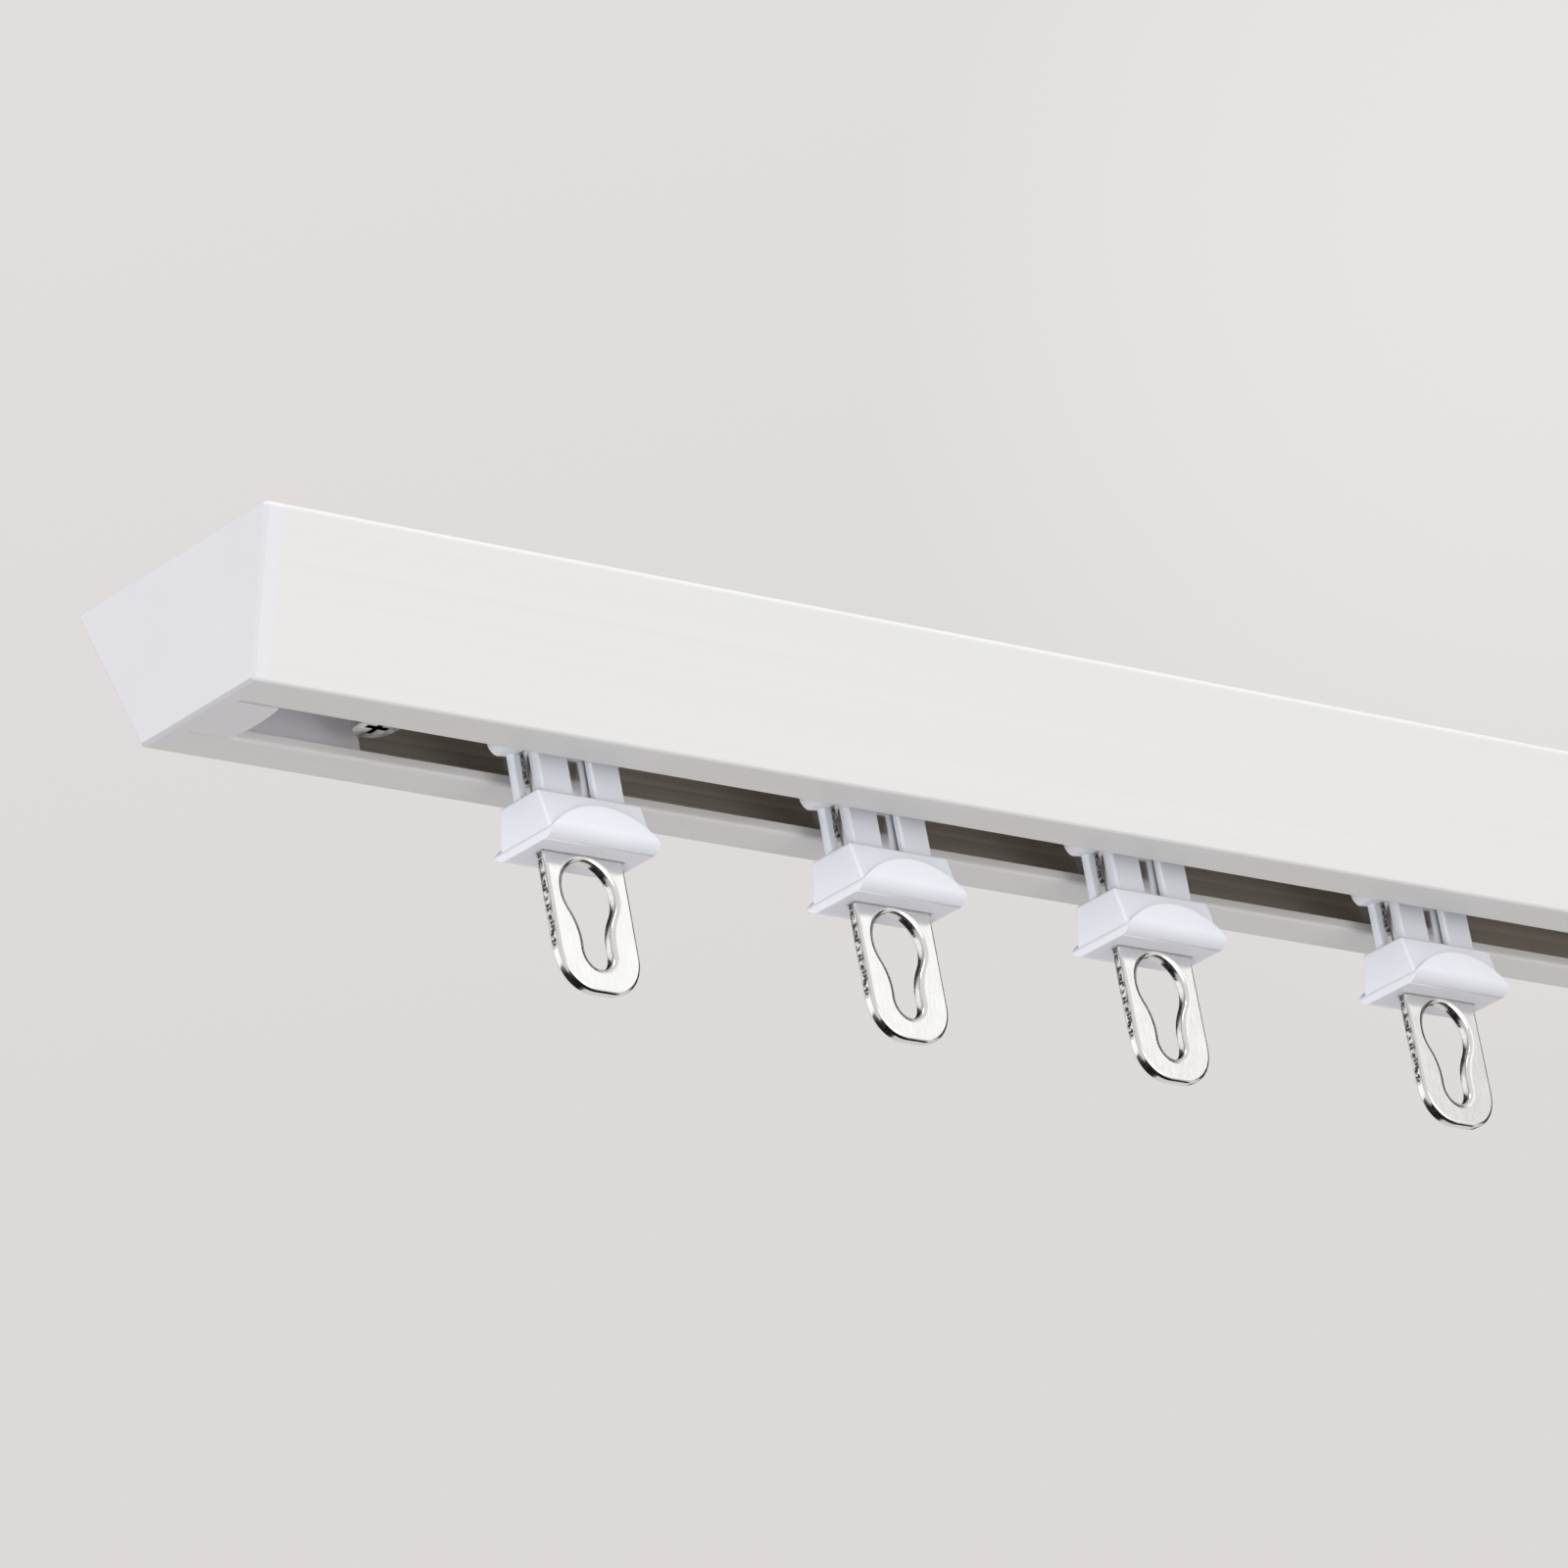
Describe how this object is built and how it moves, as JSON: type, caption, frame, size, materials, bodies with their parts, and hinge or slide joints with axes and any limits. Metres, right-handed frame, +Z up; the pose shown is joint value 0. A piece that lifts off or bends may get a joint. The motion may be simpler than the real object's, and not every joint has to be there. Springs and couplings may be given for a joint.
{
  "type": "curtain track",
  "caption": "Straight ceiling curtain track: a slotted trapezoid rail with end caps and wheeled gliders that carry pear-eyed plates for curtain hooks.",
  "frame": {"origin": "middle of the rail's upper face, on the ceiling", "axes": "+X along the rail, +Y across it, away from the picture's camera, +Z up towards the ceiling"},
  "size_m": [0.4, 0.035, 0.0482],
  "materials": {
    "rail_coat": "satin powder coat",
    "cap_plastic": "fine satin",
    "screw_plate": "bright zinc",
    "carrier_plastic": "moulded",
    "plate_nickel": "bright nickel",
    "axle_steel": "drawn",
    "wheel_plastic": "moulded"
  },
  "bodies": {
    "track": {"rail": "rail_coat", "end_cap_left": "cap_plastic", "end_cap_right": "cap_plastic", "clamp_screw_left": "screw_plate", "clamp_screw_right": "screw_plate"},
    "glider_1": {"glider_1_carrier": "carrier_plastic", "glider_1_eye_plate": "plate_nickel"},
    "glider_1_wheelset": {"glider_1_axle": "axle_steel", "glider_1_wheel_front": "wheel_plastic", "glider_1_wheel_back": "wheel_plastic"},
    "glider_2": {"glider_2_carrier": "carrier_plastic", "glider_2_eye_plate": "plate_nickel"},
    "glider_2_wheelset": {"glider_2_axle": "axle_steel", "glider_2_wheel_front": "wheel_plastic", "glider_2_wheel_back": "wheel_plastic"},
    "glider_3": {"glider_3_carrier": "carrier_plastic", "glider_3_eye_plate": "plate_nickel"},
    "glider_3_wheelset": {"glider_3_axle": "axle_steel", "glider_3_wheel_front": "wheel_plastic", "glider_3_wheel_back": "wheel_plastic"},
    "glider_4": {"glider_4_carrier": "carrier_plastic", "glider_4_eye_plate": "plate_nickel"},
    "glider_4_wheelset": {"glider_4_axle": "axle_steel", "glider_4_wheel_front": "wheel_plastic", "glider_4_wheel_back": "wheel_plastic"}
  },
  "joints": [
    {"name": "glider_1_slide", "type": "slide", "parent": "track", "child": "glider_1", "axis": [1, 0, 0], "range_m": [-0.0159, 0.0152]},
    {"name": "glider_1_roll", "type": "hinge", "parent": "glider_1", "child": "glider_1_wheelset", "pos_m": [-0.1423, 0, -0.01545], "axis": [0, 1, 0], "continuous": true},
    {"name": "glider_2_slide", "type": "slide", "parent": "track", "child": "glider_2", "axis": [1, 0, 0], "range_m": [-0.0152, 0.01247]},
    {"name": "glider_2_roll", "type": "hinge", "parent": "glider_2", "child": "glider_2_wheelset", "pos_m": [-0.0909, 0, -0.01545], "axis": [0, 1, 0], "continuous": true},
    {"name": "glider_3_slide", "type": "slide", "parent": "track", "child": "glider_3", "axis": [1, 0, 0], "range_m": [-0.01247, 0.01578]},
    {"name": "glider_3_roll", "type": "hinge", "parent": "glider_3", "child": "glider_3_wheelset", "pos_m": [-0.04495, 0, -0.01545], "axis": [0, 1, 0], "continuous": true},
    {"name": "glider_4_slide", "type": "slide", "parent": "track", "child": "glider_4", "axis": [1, 0, 0], "range_m": [-0.01578, 0.1506]},
    {"name": "glider_4_roll", "type": "hinge", "parent": "glider_4", "child": "glider_4_wheelset", "pos_m": [0.0076, 0, -0.01545], "axis": [0, 1, 0], "continuous": true}
  ],
  "couplings": [
    {"joint": "glider_1_roll", "follows": "glider_1_slide", "rad_per_m": 333.33},
    {"joint": "glider_2_roll", "follows": "glider_2_slide", "rad_per_m": 333.33},
    {"joint": "glider_3_roll", "follows": "glider_3_slide", "rad_per_m": 333.33},
    {"joint": "glider_4_roll", "follows": "glider_4_slide", "rad_per_m": 333.33}
  ]
}
